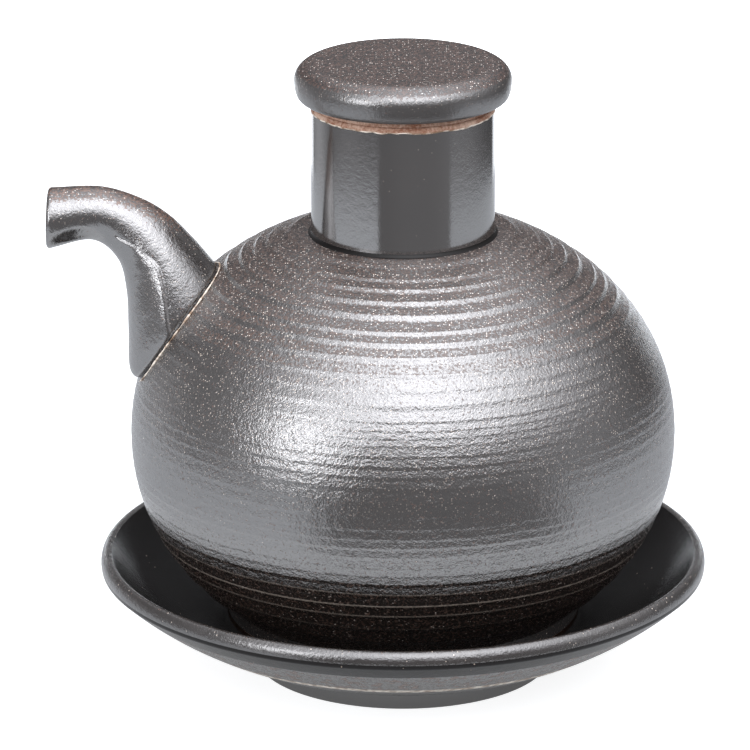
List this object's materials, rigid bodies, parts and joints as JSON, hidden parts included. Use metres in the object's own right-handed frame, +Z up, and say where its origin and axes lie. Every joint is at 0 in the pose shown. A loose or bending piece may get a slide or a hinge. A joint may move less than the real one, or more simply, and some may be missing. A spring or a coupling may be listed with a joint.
{
  "type": "soup ewer with lid and saucer",
  "caption": "Round glazed stoneware ewer for broth or dipping soup, with a straight neck, a curved spout, a thick flat lid and a saucer to stand in.",
  "frame": {"origin": "on the table, under the middle of the whole length from the spout's mouth to the saucer's far edge; the turning axis stands 5.3 mm towards +X of it", "axes": "+Z up along the turning axis, -X towards the spout's mouth"},
  "size_m": [0.1336, 0.123, 0.126],
  "materials": {
    "iron_glaze": "dark iron-brown stoneware glaze, semi-gloss, speckled, over throwing rings",
    "thin_glaze": "the same glaze where it runs thin and pale over an edge",
    "bare_clay": "unglazed orange-brown stoneware, matte and slightly gritty"
  },
  "bodies": {
    "saucer": {"saucer_dish": "iron_glaze", "saucer_foot_ring": "iron_glaze"},
    "ewer": {"ewer_body": "iron_glaze", "ewer_foot_ring": "iron_glaze", "ewer_neck": "iron_glaze", "neck_joint_bead": "iron_glaze", "ewer_spout": "iron_glaze", "spout_joint_bead": "thin_glaze"},
    "lid": {"lid_cap": "iron_glaze", "lid_flange": "bare_clay"}
  },
  "joints": [
    {"name": "ewer_lift", "type": "slide", "parent": "saucer", "child": "ewer", "axis": [0, 0, 1], "range_m": [0, 0.05]},
    {"name": "lid_lift", "type": "slide", "parent": "ewer", "child": "lid", "axis": [0, 0, 1], "range_m": [0, 0.035]}
  ]
}
